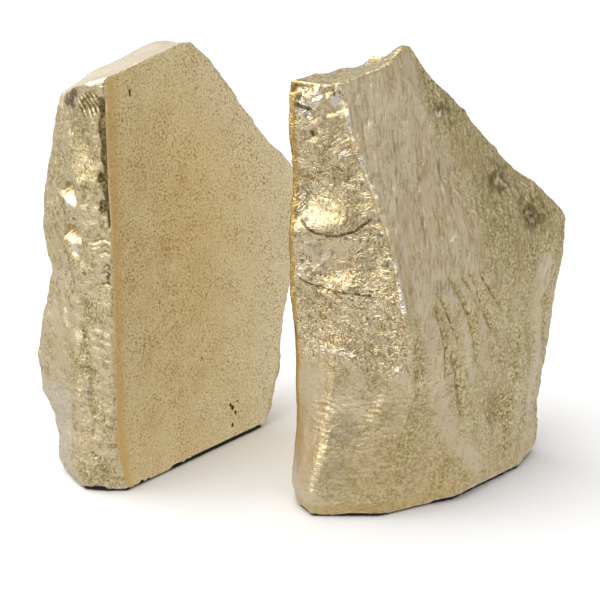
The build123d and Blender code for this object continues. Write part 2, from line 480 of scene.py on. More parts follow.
def left_top(r):
    """The rounded top: a lip with a painted highlight, combed scratches and a dark faceted corner,
    whose share of each point is returned. The corner's darkness is partly patina and partly a
    painted dark reflection."""
    f, own = r.front, r.own
    u, y, z = own.T
    f.push += 0.9 * f.spot((7, 196), (9, 3.5))
    # painted highlight along the lip
    f.bright += 1.0 * f.spot((7, 196.5), (8, 2.5))
    f.push += 0.7 * chips(own, 4, 61) * f.spot((26, 190), (9, 9))
    # the dark corner: patina and painted dark reflection
    f.tarnish += 1.1 * f.spot((25, 190), (10, 8)) * ease(-0.3, 0.3, noise(own, 3, 67))
    combs = f.spot((9, 187), (9, 8), -20)
    scratches = f.ripples(2.4, -60, 62)
    f.push += 0.6 * combs * scratches
    f.tarnish += 2.2 * combs * ease(0.0, 0.6, scratches)
    corner = oval(u, z, (25, 189), (11, 9)) * ease(16, 6, y) * r.outside
    return corner * ease(-0.4, 0.2, noise(own, 4, 76))


def left_painted_dark_band(r):
    """The dark band down the front beside the flat face, a painted dark reflection, with two
    darker spots and the short notches below it. The band's share of each point is returned."""
    f, own = r.front, r.own
    u, y, z = own.T
    # painted dark reflection down the front beside the flat face
    band = ease(5.0, 2.5, u + 1.6 * noise(own, 5, 63)) * ease(128, 134, z)
    band *= ease(-0.9, -0.5, noise(own, 9, 74) + 0.5 * ease(155, 160, z))
    band *= ease(193, 188, z) * r.outside * (1 - r.flat)
    f.push -= 0.7 * band
    for place, radii in (((4.5, 154), (3, 5)), ((4.5, 140), (3.2, 6))):
        f.mark(f.spot(place, radii), tarnish=1.1, push=-0.8)
    for height, reach in ((124.5, 9), (121.5, 7), (118.6, 8), (112.5, 5), (109, 7), (104, 6)):
        notch = ((1.5, height), (0.5 * reach, height + 1.1), (reach, height - 0.4))
        f.mark(f.line(notch, 1.0), tarnish=0.65, push=-0.4)
    f.tarnish += 1.0 * f.spot((3, 107.5), (2.6, 4)) * ease(-0.3, 0.2, noise(own, 2, 77))
    return band * ease(6, 3, y)


def left_chips(r):
    """Two chipped facets, a smooth pale patch and small spots, all bright with painted highlights
    that partly stand for rubbed polish.
    """
    f, own = r.front, r.own
    for place in ((26.7, 139), (26, 119)):
        r.cut((place[0], -3.2, place[1] + 2), (0.1, -0.8, 0.6), 8)
        f.bright += 2.0 * f.spot(place, (4.5, 8), -35)
        f.tarnish += 0.5 * f.line(((place[0] + 7, place[1] - 2), (place[0] + 1, place[1] - 9)), 1.5)
    f.mark(f.spot((12, 129), (8, 6)), push=0.6, bright=0.4)
    f.push += 0.45 * f.spot((9, 121), (9, 6)) * f.ripples(1.9, 10, 64)
    for place, radii in (((28.5, 103), (2, 3)), ((33, 83), (3, 5)), ((16.5, 84), (2.5, 2))):
        f.mark(f.spot(place, radii), bright=1.2, push=0.6)
    f.tarnish += 0.6 * f.spot((18, 99), (6, 4)) * ease(-0.2, 0.5, noise(own, 2.5, 66))


def left_lower_front(r):
    """A crease down the lower front, with short level tool marks between it and the flat face,
    and pits and a stain near the foot."""
    f = r.front
    crease = ((19.0, 81), (15.6, 73), (15.2, 66), (13, 58), (14, 50), (12.0, 42), (12.6, 28))
    f.push -= 0.4 * f.line(crease, 1.8)
    f.olive += 0.8 * f.line(crease, 1.6)
    for height in (93.5, 90.6, 87, 79, 74.5, 70, 66.5, 52, 41.5, 36, 26, 13):
        f.push += 0.25 * f.line(((2.5, height - 0.6), (12.5, height + 0.8)), 1.9)
        f.tarnish += 0.3 * f.line(((2.5, height - 2.2), (6.5, height - 1.4)), 1.2)
        f.olive += 0.5 * f.line(((4.5, height - 2.0), (12.5, height - 0.8)), 1.2)
    for place in ((11.5, 18.5), (9.5, 17.5), (13, 20), (7, 6)):
        f.push -= 0.9 * f.spot(place, (1.2, 1.2))
        f.tarnish += 0.9 * f.spot(place, (1.1, 1.1))
    f.olive += 0.8 * f.spot((18, 10), (9, 6)) + 0.7 * f.spot((22, 60), (8, 14))


def left_ground(r):
    """Olive patches over the front, laid on thicker with dark patina high up as painted shade, and
    smoother stone, calmest low down at its outer edge.
    """
    f, own = r.front, r.own
    u, y, z = own.T
    # high on the front the olive and dark marks are painted shade as well as patina
    f.olive += 0.8 * f.spot((20, 160), (24, 40)) * ease(-0.2, 0.5, noise(own, 6, 73))
    f.tarnish += 0.3 * f.spot((20, 165), (20, 32)) * ease(0, 0.4, noise(own, 4, 78))
    f.olive += 0.4 * ease(0.1, 0.5, noise(own, 6, 75)) * ease(125, 110, z)
    f.olive += 0.35 * ease(105, 130, z)
    r.calm = np.maximum(r.calm, 0.55 * f.share)
    outer_foot = ease(23, 29, u + 2 * noise(own, 7, 79))
    outer_foot *= ease(58, 42, z) * ease(22, 8, y)
    r.calm = np.maximum(r.calm, 0.95 * r.rough * outer_foot)
    r.level = 0.6 * r.rough * ease(60, 40, z)


def left_flat_face(r):
    """The sand-cast flat face: a slit, a cluster of pits, a gold front edge and foot, and a
    paler back."""
    c, own = r.face, r.own
    _, y, z = own.T
    c.mark(c.line(((10.5, 192.5), (10.7, 189.5)), 0.8), push=-0.9, tarnish=1.2)
    for place, size in (((80.5, 18.6), 1.9), ((82.8, 15.6), 1.5), ((78.9, 20.7), 1.4),
                        ((80.3, 9.3), 1.6), ((84.5, 21.0), 1.1), ((57.0, 52.0), 0.9)):
        c.mark(c.spot(place, (size, size * 1.2)), push=-1.0, tarnish=1.3)
    r.gold = 0.9 * r.flat * ease(5.0, -2.0, y + 1.4 * noise(own, 9, 65))
    r.gold += 0.55 * r.flat * ease(85, 10, z + 0.4 * y)
    pale = ease(55, 110, y + 0.25 * (z - 100) + 14 * noise(own, 22, 72))
    r.calm = np.maximum(r.calm, r.flat * pale)


def left_relief(own, normals, outside):
    """The left rock's moved points and its surface marks."""
    r = Relief(own, normals, outside, 3)
    u, _, z = own.T
    r.push *= 1 - 0.6 * r.front.share * ease(18, 12, u) * ease(128, 115, z)
    r.bulge_above_foot(1.2)
    corner = left_top(r)
    band = left_painted_dark_band(r)
    left_chips(r)
    left_lower_front(r)
    left_ground(r)
    left_flat_face(r)
    own, marks = r.finished(left_settled, 2.4, 71)
    # the band is painted dark reflection and the top corner partly so; both darken the brass
    marks["tarnish"] = np.clip(marks["tarnish"] + band + corner, 0, 1)
    return own, marks


RIGHT_BEVEL = ((120, 100), (116, 80), (113, 56), (108, 38))    # down the side's back edge


def right_knob(r):
    """The crumpled knob at the top of the front, glinting with painted highlights, with a bright
    wedge of painted highlight and a dark notch below it."""
    f, own = r.front, r.own
    f.push += 1.6 * f.spot((15, 194), (11, 10)) - 0.8 * f.spot((6, 193), (4, 6))
    knob = f.spot((15, 193), (17, 12))
    facets, seam_gap = chips_and_seams(own, 4.2, 81)
    f.push += 2.6 * knob * facets
    # painted glints on the knob's facets
    f.bright += 2.2 * knob * ease(-0.3, 0.2, noise(own, 5, 98))
    dark_seams = ease(0.07, 0.01, seam_gap) * ease(-0.3, 0.2, noise(own, 6, 101))
    f.tarnish += 1.3 * knob * dark_seams
    f.tarnish += 1.1 * f.spot((4, 193), (5, 6)) * ease(-0.3, 0.3, noise(own, 2.5, 97))
    f.push -= 2.4 * f.scoop(((-4, 184.5), (14, 185.5)), 9)
    # the bright wedge: a painted highlight
    f.bright += 1.6 * f.line(((0, 187), (10, 186)), 2.6)
    f.tarnish += 0.9 * f.line(((1, 190.2), (11, 188)), 1.8)
    f.tarnish += 0.8 * f.spot((11.6, 177), (2, 3.5), 20)
    f.push -= 1.3 * f.spot((11.6, 177), (3.5, 5), 20)
    f.push += 1.2 * f.spot((26, 186), (3.5, 3.5))
    f.bright += 1.2 * f.spot((26, 186), (3, 3))


def right_scoops(r):
    """Two shell-shaped scoops down the front, one under the other, with a fan of ripples above
    them and a flatter panel below. Painted highlights lie along their lips and the panel's lip,
    painted shadow lines under the scoops' lips, and painted shade high in the upper scoop."""
    f, own = r.front, r.own
    z = own[:, 2]
    fan = f.spot((21, 174), (11, 8), -20)
    f.push += 0.25 * fan * f.ripples(1.9, -35, 82, 0.8)
    f.bright += 0.9 * f.spot((24, 169), (7, 4), -30)
    upper = ((5, 137.5), (7, 136), (13.5, 133.3), (23, 132.6), (32, 136), (40, 143.5))
    f.push -= 1.0 * f.scoop(upper, 40)
    rays = 0.5 + 0.5 * f.ripples(2.2, 90, 99, 1.2)
    # painted highlight low in the upper scoop, broken by its ripples
    f.bright += 0.3 * rays * f.spot((19, 139), (19, 7)) * ease(132, 134, z)
    f.olive += 1.0 * (1 - rays) * f.spot((19, 142), (24, 14))
    f.tarnish += 0.35 * (1 - rays) * f.spot((19, 142), (22, 12))
    f.push += 0.35 * rays * f.spot((19, 142), (20, 12))
    f.bright += 0.8 * f.line(((6, 139), (6, 147)), 1.0)
    under_upper = ((6, 137), (9, 134), (14, 131.6), (23, 131), (32, 134.4), (38, 140))
    # painted shadow line under the upper lip, and painted shade high in the scoop
    f.tarnish += 0.9 * f.line(under_upper, 1.3)
    f.tarnish += 0.35 * f.spot((22, 158), (16, 16))
    lower = ((4, 111.8), (11.5, 109.4), (16, 109), (26, 107.7), (35.5, 107.4), (45, 109))
    f.push -= 1.0 * f.scoop(lower, 24)
    f.push += 0.5 * chips(own, 4, 106) * f.spot((22, 113), (20, 7))
    # painted highlights along the lower scoop
    f.bright += 0.3 * f.spot((24, 111.5), (12, 4.5), -10) + 0.3 * f.spot((40, 112), (5, 4))
    f.olive += 0.7 * f.spot((24, 114), (22, 7)) * ease(-0.2, 0.3, noise(own, 3, 107))
    f.bright += 1.0 * f.spot((14.5, 116), (4, 2.5), -15) + 0.8 * f.spot((7, 112.5), (4, 3))
    # painted shadow line under the lower lip
    f.tarnish += 0.8 * f.line(((6, 110), (12, 107.8), (26, 106), (40, 106)), 1.2)
    panel = (
        (8, 82), (11.3, 76.1), (22, 77), (32.7, 76.7), (35.3, 70), (39, 64), (44, 67), (54, 72),
    )
    f.push -= 1.5 * f.scoop(panel, 34)
    # painted highlight along the panel's lip
    f.bright += 1.0 * f.line(((12, 77), (22, 78), (32, 77.8)), 1.4)
    f.tarnish += 0.4 * f.line(((7, 85), (11, 76.5)), 1.2)
    f.tarnish += 0.35 * f.line(((33.5, 76), (36, 70), (39.5, 63.5), (45, 66), (52, 71)), 1.4)
    f.bright += 1.2 * f.spot((52.5, 74), (3.5, 3.5))
    f.push += 1.0 * f.line(((52.5, 70), (43, 47)), 4.5)


def right_lower_front(r):
    """The calmer lower front, with fine level ripples over its foot."""
    f, own = r.front, r.own
    u, y, z = own.T
    foot = ease(70, 52, z)
    patches = ease(-0.3, 0.4, noise(own, 12, 92) + 0.02 * (u - 25))
    strokes = foot * (0.35 + 0.65 * patches)
    f.push += 0.18 * strokes * ease(8, 20, u) * f.ripples(2.6, -4, 83, 3.0)
    r.level = r.rough * strokes * (0.4 + 0.6 * ease(8, 20, u)) * ease(38, 14, y)
    smooth = np.maximum(ease(80, 66, z), f.spot((22, 122), (30, 14)))
    smooth = np.maximum(smooth, 0.85 * np.clip(1.8 * f.spot((20, 139), (26, 12)), 0, 1))
    r.calm = np.maximum(r.calm, f.share * smooth * (0.6 + 0.2 * ease(22, 16, u)))


def right_crease(r):
    """The ridge between the front and the outer side. How strongly the ridge's painted highlight,
    which partly stands for rubbed polish, shows at each point is returned."""
    own = r.own
    u, y, z = own.T
    levels = np.array((85, 92, 105, 119, 132, 147, 155, 168, 181, 188))
    crease_u = np.interp(z, levels, (58.6, 57, 53.6, 50.1, 46.6, 40.4, 36.5, 31.7, 26.6, 25))
    crease_y = np.interp(z, levels, (6.6, 6.4, 6.3, 6.3, 6.5, 5.8, 5.1, 4.0, 2.7, 2.0))
    away = np.hypot(u - crease_u, y - crease_y) + 0.8 * noise(own, 7, 84)
    here = r.rough * ease(80, 88, z) * ease(190, 184, z)
    r.push += 1.3 * here * ease(2.4, 0.4, away)
    beside = np.hypot(u - crease_u + 3, y - crease_y)
    r.front.tarnish += 0.7 * here * ease(1.2, 0.4, beside)
    return here * ease(1.3, 0.5, away) * ease(-0.4, 0.0, noise(own, 4, 93))


def drawn_out(own, lean, upright):
    """Places that draw noise out into long streaks, which lean back as they rise."""
    u, y, z = own.T
    return np.stack([u * 0.3, y - lean * z, z * upright], 1)


def right_combing(r, lines):
    """The outer side, combed from top to bottom in long folds, with short slits."""
    s, own = r.side, r.own
    folds = drawn_out(own, 0.1, 0.3)
    upper = ease(60, 110, own[:, 2])
    r.combed = s.share * (0.45 + 0.55 * upper)
    s.push += 0.25 * (0.4 + 0.6 * upper) * noise(lines, 2.0, 85)
    s.push += 0.4 * (0.4 + 0.6 * upper) * noise(lines, 7.0, 86)
    s.push += 1.7 * noise(folds, 15, 94)
    for path in (((22, 162), (20, 155)), ((36, 160), (32, 149)), ((42, 168), (38, 160)),
                 ((48, 150), (46, 140)), ((16, 148), (15, 139)), ((30, 137), (28, 126)),
                 ((40, 140), (37, 128)), ((26, 176), (24, 168)), ((52, 160), (51, 151))):
        s.push -= 0.6 * s.line(path, 1.2)
        s.tarnish += 0.5 * s.line(path, 1.0)
    fold = ((45, 190), (49, 177), (60, 171), (66, 170))
    s.push += 1.4 * s.line(fold, 5.0)


def right_claws(r, lines):
    """Claw-like grooves down the outer side, each with a ridge in front of it bright with a painted
    highlight, and two ridges above them with painted highlights."""
    s = r.side
    claws = (
        (((26, 97), (28, 82), (30, 66)), 3.0),
        (((30, 101), (33, 92), (36, 82)), 2.6),
        (((38, 108), (44, 91), (49.5, 70)), 3.2),
        (((44, 108), (49, 99), (55, 91)), 2.6),
        (((51, 108), (59, 94), (68, 79)), 5.0),
        (((61, 106), (69, 95), (77, 86)), 3.0),
        (((34, 74), (38, 58), (42, 44)), 3.5),
    )
    for path, width in claws:
        s.push -= (0.3 + 0.32 * width) * s.line(path, width)
        s.olive += 0.9 * s.line(path, 0.7 * width)
        s.tarnish += 0.6 * s.line(path, 1.1) * ease(-0.8, 0.3, noise(lines, 1.5, 103))
        ridge = [(a - 0.8 * width, b) for a, b in path]
        s.push += 0.5 * s.line(ridge, 1.6)
        s.bright += 0.45 * s.line(ridge, 1.2)
    for path in (((52, 150), (60, 140), (70, 128)), ((60, 152), (70, 142), (82, 128))):
        s.push += 1.0 * s.line(path, 1.4)
        s.bright += 1.0 * s.line(path, 0.9)


def right_ground(r, lines):
    """The outer side's olive, speckled ground, the smooth streaks over it with a grey-lilac painted
    sheen, the grainy patches near its slope with painted glints, and painted shade darkening the
    slope and three patches beside it."""
    s, own = r.side, r.own
    _, y, z = own.T
    ragged = noise(lines, 6.0, 95) + 0.6 * noise(own, 6.0, 96)
    slope = ease(46, 74, y + 0.15 * (z - 150) + 9 * ragged) * ease(88, 112, z)
    s.olive += 0.95 * slope + 0.9 * s.spot((66, 184), (24, 19))
    s.olive += (0.45 + 0.55 * ease(-0.3, 0.7, ragged)) * ease(112, 92, z)
    # painted shade: the upper slope darker
    s.tarnish += 0.32 * slope
    # the streaks run down the front, down the middle, between the claws and down the bevel
    streak = np.zeros(len(own))
    for path, width, strength in (
        (((14, 130), (19, 100), (23, 78), (26, 52)), 9, 1.0),
        (((26, 60), (36, 34), (52, 14)), 9, 1.0),
        (((116, 98), (112, 78), (110, 56), (104, 34)), 7, 1.0),
        (((33, 112), (40, 86), (47, 60)), 5, 0.8),
        (((50, 98), (60, 76), (66, 58)), 5, 0.7),
        (RIGHT_BEVEL, 6, 1.0),
    ):
        streak = np.maximum(streak, strength * s.line(path, width))
    s.olive *= 1 - np.clip(1.3 * streak + 0.5 * streak * ragged, 0, 1)
    # painted sheen along the streaks
    sheen = streak * (0.8 + 0.5 * noise(lines, 1.6, 102))
    r.calm = np.maximum(r.calm, s.share * np.clip(sheen, 0, 0.8))
    grainy = s.spot((66, 184), (22, 17)) + 1.2 * s.spot((106, 133), (30, 24), -35)
    s.push += 0.45 * grainy * noise(own, 2.6, 88)
    # painted glints in the grainy patches
    s.bright += 1.6 * grainy * ease(0.44, 0.56, noise(own, 1.6, 87))
    patchy = ease(-0.3, 0.3, noise(own, 2.0, 104) + 0.6 * noise(own, 6.0, 105))
    # painted shade of the folds near the slope, in three patches
    for place, radii in (((66, 180), (16, 18)), ((98, 141), (20, 14)), ((114, 124), (18, 13))):
        s.tarnish += 0.36 * s.spot(place, radii) * patchy
    r.gold = np.maximum(r.gold, 0.5 * s.share * s.spot((78, 160), (16, 16)) * patchy)
    s.push += 1.6 * s.spot((85, 177), (4.5, 5)) + 1.2 * s.spot((90, 165), (4.5, 4))


def right_hollows(r):
    """The outer side's hollows, near the front crease, in the lower middle and at the lower
    back, and the bevel behind them with a painted highlight line."""
    s = r.side
    s.mark(s.spot((10, 71), (7, 18)), push=-1.8, olive=1.0)
    s.mark(s.spot((75, 37), (17, 10), -15), push=-2.6, olive=0.9)
    groove = ((58, 45), (64, 37), (71, 29))
    s.push -= 1.0 * s.line(groove, 3.0)
    s.tarnish += 0.35 * s.line(groove, 1.8)
    s.push -= 1.6 * s.spot((105, 62), (9, 24))
    s.olive += 1.0 * s.spot((105, 62), (10, 26))
    s.push += 0.8 * s.line(RIGHT_BEVEL, 6)
    # painted highlight line along the bevel
    s.bright += 0.35 * s.line(((119, 98), (114, 80), (112, 56), (107, 38)), 2.0)
    s.push -= 1.4 * s.spot((121, 79), (4, 5))


def right_foot_edge(r):
    """The smooth bevel round the foot, with a painted highlight line and a gold edge."""
    f, s, own = r.front, r.side, r.own
    u, y, z = own.T
    s.push += 0.5 * s.line(((0, 15), (60, 14), (130, 14)), 5.0)
    s.bright += 0.9 * s.line(((42, 8.5), (68, 9.5), (100, 8.5)), 0.9)
    f.bright += 1.0 * f.line(((20, 9), (34, 7.5), (50, 8.5), (64, 9)), 0.9)
    foot_edge = ease(7.5, 5.0, z + 1.2 * noise(own, 9, 100))
    r.gold = np.maximum(r.gold, 0.5 * (r.outside - r.flat) * foot_edge * ease(40, 15, y))
    r.gold += 0.35 * r.rough * ease(18, 6, z) * ease(15, 40, y)
    low_front = ease(60, 20, z) * ease(14, 40, u) * ease(60, 20, y)
    r.gold += 0.3 * r.rough * low_front


def right_gold_strip(r):
    """The dull gold strip down the front beside the flat face, its share of each point. It
    runs on round the edge, over the first 12 mm or so of the flat face."""
    own = r.own
    u, y, z = own.T
    width = np.interp(z, (60, 120), (2.6, 3.6))
    return ease(0.6, -0.6, u - width + 0.7 * noise(own, 9, 89)) * ease(14, 10, y)


def right_relief(own, normals, outside):
    """The right rock's moved points and its surface marks."""
    r = Relief(own, normals, outside, 41)
    r.push *= 1 - 0.65 * ease(80, 60, own[:, 2]) * r.front.share
    r.bulge_above_foot(1.6)
    top = r.calm
    r.calm = 0.5 * top
    right_knob(r)
    right_scoops(r)
    right_lower_front(r)
    highlight_and_polish = right_crease(r)
    lines = drawn_out(own, 0.3, 0.09)
    right_combing(r, lines)
    right_claws(r, lines)
    right_ground(r, lines)
    right_hollows(r)
    right_foot_edge(r)
    strip = right_gold_strip(r)
    r.gold = np.maximum(r.gold, r.outside * strip)
    own, marks = r.finished(right_settled, 1.0, 91)
    # the crease's painted highlight joins the bright marks, which are kept off the gold strip
    marks["bright"] = np.clip(marks["bright"] + 0.7 * highlight_and_polish, 0, 1) * (1 - 0.8 * strip)
    marks["olive"] = np.clip(marks["olive"] + 0.6 * top * r.outside, 0, 1)
    marks["tarnish"] = np.clip(marks["tarnish"] + 0.58 * r.outside * strip, 0, 1)
    return own, marks


# ---------------------------------------------------------------- materials

class Graph:
    """A new material with its shader, and short calls for the nodes that it uses."""

    def __init__(self, name):
        self.material = bpy.data.materials.new(name)
        self.material.use_nodes = True
        self.tree = self.material.node_tree
        self.tree.nodes.clear()
        out = self.node("ShaderNodeOutputMaterial")
        self.shader = self.node("ShaderNodeBsdfPrincipled")
        self.feed(out.inputs[0], self.shader.outputs[0])

    def node(self, kind, **settings):
        node = self.tree.nodes.new(kind)
        for key, value in settings.items():
            setattr(node, key, value)
        return node

    def feed(self, socket, value):
        """Gives a socket a node's output, a number or a colour. A number is grey as a colour."""
        if isinstance(value, bpy.types.NodeSocket):
            self.tree.links.new(value, socket)
            return
        if socket.type == "RGBA":
            value = (value, value, value) if isinstance(value, (int, float)) else value
            value = (*value, 1.0)
        socket.default_value = value

    def shade(self, name, value):
        self.feed(self.shader.inputs[name], value)

    def place(self):
        return self.node("ShaderNodeTexCoord").outputs["Object"]

    def stretched(self, place, lean, scale):
        """Texture places leaned back from upright by some degrees, then scaled along each
        axis: a small scale draws the texture out."""
        turn = self.node("ShaderNodeMapping")
        self.feed(turn.inputs["Rotation"], (np.radians(lean), 0, 0))
        self.feed(turn.inputs["Vector"], place)
        pull = self.node("ShaderNodeMapping")
        self.feed(pull.inputs["Scale"], scale)
        self.feed(pull.inputs["Vector"], turn.outputs["Vector"])
        return pull.outputs["Vector"]

    def attribute(self, name):
        return self.node("ShaderNodeAttribute", attribute_name=name).outputs["Fac"]

    def noise(self, place, size, detail=2.0, roughness=0.5, distortion=0.0):
        """Noise with lumps about this size in millimetres."""
        node = self.node("ShaderNodeTexNoise")
        self.feed(node.inputs["Vector"], place)
        self.feed(node.inputs["Scale"], 1.0 / (size * MM))
        self.feed(node.inputs["Detail"], detail)
        self.feed(node.inputs["Roughness"], roughness)
        self.feed(node.inputs["Distortion"], distortion)
        return node.outputs["Fac"]

    def ramp(self, value, *stops):
        """Numbers or colours that change with the value, each stop a place and what is there."""
        node = self.node("ShaderNodeValToRGB")
        elements = node.color_ramp.elements
        while len(elements) < len(stops):
            elements.new(0.5)
        for element, (place, colour) in zip(elements, stops):
            element.position = place
            if isinstance(colour, (int, float)):
                colour = (colour, colour, colour)
            element.color = (*colour, 1.0)
        self.feed(node.inputs["Fac"], value)
        return node.outputs["Color"]

    def mix(self, share, a, b, kind="RGBA"):
        """a where the share is 0 and b where it is 1, for colours or for normals (VECTOR)."""
        node = self.node("ShaderNodeMix", data_type=kind)
        for name, value in (("Factor", share), ("A", a), ("B", b)):
            self.feed([i for i in node.inputs if i.name == name and i.enabled][0], value)
        return [o for o in node.outputs if o.enabled][0]

    def layers(self, base, *over):
        """A base with colours or numbers laid over it one after another, each by its share."""
        for share, value in over:
            base = self.mix(share, base, value)
        return base

    def maths(self, kind, a, b, c=0.0):
        node = self.node("ShaderNodeMath", operation=kind)
        for socket, value in zip(node.inputs, (a, b, c)):
            self.feed(socket, value)
        return node.outputs[0]

    def times(self, a, b):
        return self.maths("MULTIPLY", a, b)

    def crisp(self, mark, ragged, low, high):
        """A soft mark from 0 to 1 turned into one with a hard, ragged edge."""
        node = self.node("ShaderNodeMapRange", interpolation_type="SMOOTHSTEP")
        self.feed(node.inputs["From Min"], low)
        self.feed(node.inputs["From Max"], high)
        self.feed(node.inputs["Value"], self.maths("ADD", mark, self.times(ragged, mark)))
        return node.outputs["Result"]

    def bump(self, height, depth, under=None, strength=1.0):
        """A bump whose height input of 1 stands this many millimetres high."""
        node = self.node("ShaderNodeBump")
        self.feed(node.inputs["Strength"], strength)
        self.feed(node.inputs["Distance"], depth * MM)
        self.feed(node.inputs["Height"], height)
        if under:
            self.feed(node.inputs["Normal"], under)
        return node.outputs["Normal"]


class BrassTextures:
    """The marks on the rock skins, and the textures that the parts of the brass share."""

    def __init__(self, g):
        place = self.place = g.place()
        self.flat, self.combed = g.attribute("flat"), g.attribute("combed")
        self.calm, self.level = g.attribute("calm"), g.attribute("level")
        self.olive, self.gold = g.attribute("olive"), g.attribute("gold")
        self.blotches = g.noise(place, 18, 4.0, 0.6)
        self.fleck = g.noise(place, 1.3, 3.0, 0.6, 0.6)
        self.streaks = g.noise(g.stretched(place, COMB_LEAN, (0.4, 1, 0.2)), 1.4, 4.0, 0.6)
        self.strokes = g.noise(g.stretched(place, 0, (0.3, 0.3, 1)), 1.3, 4.0, 0.6, 0.5)
        self.grain = g.mix(self.combed, self.fleck, self.streaks)
        self.pits = g.noise(place, 1.05, 3.0, 0.7)
        ragged = g.maths("MULTIPLY_ADD", self.fleck, 0.9, -0.45)
        # bright: painted highlights, partly rubbed polish; the dark marks: patina and painted shade
        self.bright = g.times(g.crisp(g.attribute("bright"), ragged, 0.2, 0.8), 0.8)
        self.tarnish = g.times(g.crisp(g.attribute("tarnish"), ragged, 0.25, 0.7), 0.9)
        # worm-like creases are where this is near 0, and they gather in patches
        from_middle = g.maths("SUBTRACT", g.noise(place, 4.2, 3.0, 0.55, 1.0), 0.5)
        self.worm = g.maths("ABSOLUTE", from_middle, 0.0)
        self.gathered = g.ramp(g.noise(place, 11, 3.0, 0.5), (0.45, 0.15), (0.56, 1.0))


def rock_colour(g, t):
    """Cream to khaki, with fine creases and grain, and speckled, rusty or gold where the marks say
    so; a grey-lilac painted sheen on smooth parts, painted highlights that partly stand for rubbed
    polish, and dark patina mixed with painted shade."""
    plain = g.ramp(t.blotches, (0.3, (0.82, 0.66, 0.39)), (0.7, (0.95, 0.79, 0.53)))
    side = g.ramp(t.blotches, (0.3, (0.80, 0.65, 0.41)), (0.7, (0.93, 0.78, 0.55)))
    speckle = g.ramp(
        t.fleck, (0.37, (0.32, 0.24, 0.07)), (0.50, (0.69, 0.56, 0.27)), (0.64, (1.0, 0.89, 0.56))
    )
    # painted sheen: smooth parts greyed towards the white room seen in them
    painted_sheen = g.ramp(t.calm, (0.6, 0.0), (0.95, 0.7))
    long_streaks = g.noise(g.stretched(t.place, COMB_LEAN, (0.4, 1, 0.25)), 7, 3.0, 0.6)
    rusty = g.times(t.combed, g.ramp(long_streaks, (0.50, 0.0), (0.66, 0.5)))
    grained = g.mix(t.combed, g.ramp(t.calm, (0.3, 0.8), (0.55, 0.22)), 0.55)
    dark_grain = g.times(g.ramp(t.grain, (0.36, 0.85), (0.475, 0.0)), grained)
    light_grain = g.times(g.ramp(t.grain, (0.54, 0.0), (0.66, 0.6)), grained)
    crease = g.times(g.ramp(t.worm, (0.0, 1.0), (0.042, 0.0)), t.gathered)
    crease = g.times(crease, g.ramp(t.calm, (0.55, 1.0), (0.85, 0.0)))
    crease = g.times(crease, g.ramp(t.combed, (0.0, 1.0), (0.8, 0.4)))
    dark_strokes = g.times(t.level, g.ramp(t.strokes, (0.38, 0.6), (0.48, 0.0)))
    light_strokes = g.times(t.level, g.ramp(t.strokes, (0.54, 0.0), (0.66, 0.6)))
    # painted highlights, partly rubbed polish
    highlight_and_polish = g.ramp(t.grain, (0.3, (0.90, 0.75, 0.50)), (0.46, (1.0, 0.93, 0.80)))
    # dark marks: patina, and painted shade or dark reflection where those are laid
    dark = g.ramp(t.grain, (0.42, (0.07, 0.043, 0.012)), (0.70, (0.45, 0.33, 0.14)))
    return g.layers(
        plain,
        (t.combed, side),
        (t.olive, speckle),
        (painted_sheen, (0.80, 0.72, 0.60)),
        (rusty, (0.66, 0.47, 0.25)),
        (dark_grain, (0.30, 0.21, 0.08)),
        (light_grain, (1.0, 0.93, 0.76)),
        (crease, (0.34, 0.21, 0.05)),
        (dark_strokes, (0.46, 0.37, 0.16)),
        (light_strokes, (1.0, 0.90, 0.64)),
        (t.bright, highlight_and_polish),
        (t.tarnish, dark),
        (t.gold, (0.70, 0.49, 0.19)),
    )


def face_colour(g, t):
    """The sand-cast flat face: pale gold with brown blotches, sand grain and fine dark pits."""
    plain = g.ramp(t.blotches, (0.3, (0.93, 0.76, 0.43)), (0.7, (1.0, 0.90, 0.60)))
    brown = g.ramp(g.noise(t.place, 13, 5.0, 0.62), (0.46, 0.0), (0.72, 0.45))
    sand = g.noise(t.place, 0.9, 2.0, 0.6)
    clusters = g.ramp(g.noise(t.place, 16, 4.0, 0.6), (0.40, 0.35), (0.60, 1.0))
    pitted = g.times(g.ramp(t.pits, (0.39, 1.0), (0.46, 0.0)), clusters)
    return g.layers(
        plain,
        (brown, (0.70, 0.50, 0.22)),
        (g.times(t.calm, 0.65), (1.0, 0.92, 0.74)),
        (g.ramp(sand, (0.36, 0.6), (0.48, 0.0)), (0.66, 0.48, 0.22)),
        (g.ramp(sand, (0.51, 0.0), (0.64, 0.8)), (1.0, 0.97, 0.74)),
        (pitted, (0.50, 0.28, 0.08)),
        (g.ramp(t.pits, (0.54, 0.0), (0.66, 0.7)), (1.0, 0.97, 0.76)),
        (g.times(t.gold, 0.65), (0.81, 0.56, 0.20)),
        (t.tarnish, (0.02, 0.014, 0.008)),
    )


def brass_roughness(g, t):
    """Polished where it is bright, satin on the rock and matt on the flat face."""
    satin = g.ramp(t.blotches, (0.3, 0.34), (0.7, 0.24))
    soft = g.maths("MAXIMUM", g.ramp(t.calm, (0.56, 0.0), (0.9, 1.0)), t.level)
    return g.layers(satin, (t.bright, 0.16), (t.combed, 0.34), (soft, 0.44), (t.flat, 0.55))


def brass_normal(g, t):
    """Crumpled and creased on the rock, combed on its combed side and sandy on the face."""
    moving = g.maths("SUBTRACT", 1.0, t.calm)
    wrinkles = g.noise(t.place, 1.3, 3.0, 0.55, 0.8)
    crumple = g.bump(wrinkles, 0.4, strength=g.times(t.gathered, moving))
    crumple = g.bump(g.ramp(t.worm, (0.0, 0.0), (0.08, 1.0)), 0.24, crumple, moving)
    crumple = g.bump(t.strokes, 0.3, crumple, t.level)
    rock = g.mix(t.combed, crumple, g.bump(t.streaks, 0.75), "VECTOR")
    return g.mix(t.flat, rock, g.bump(t.pits, 0.2), "VECTOR")


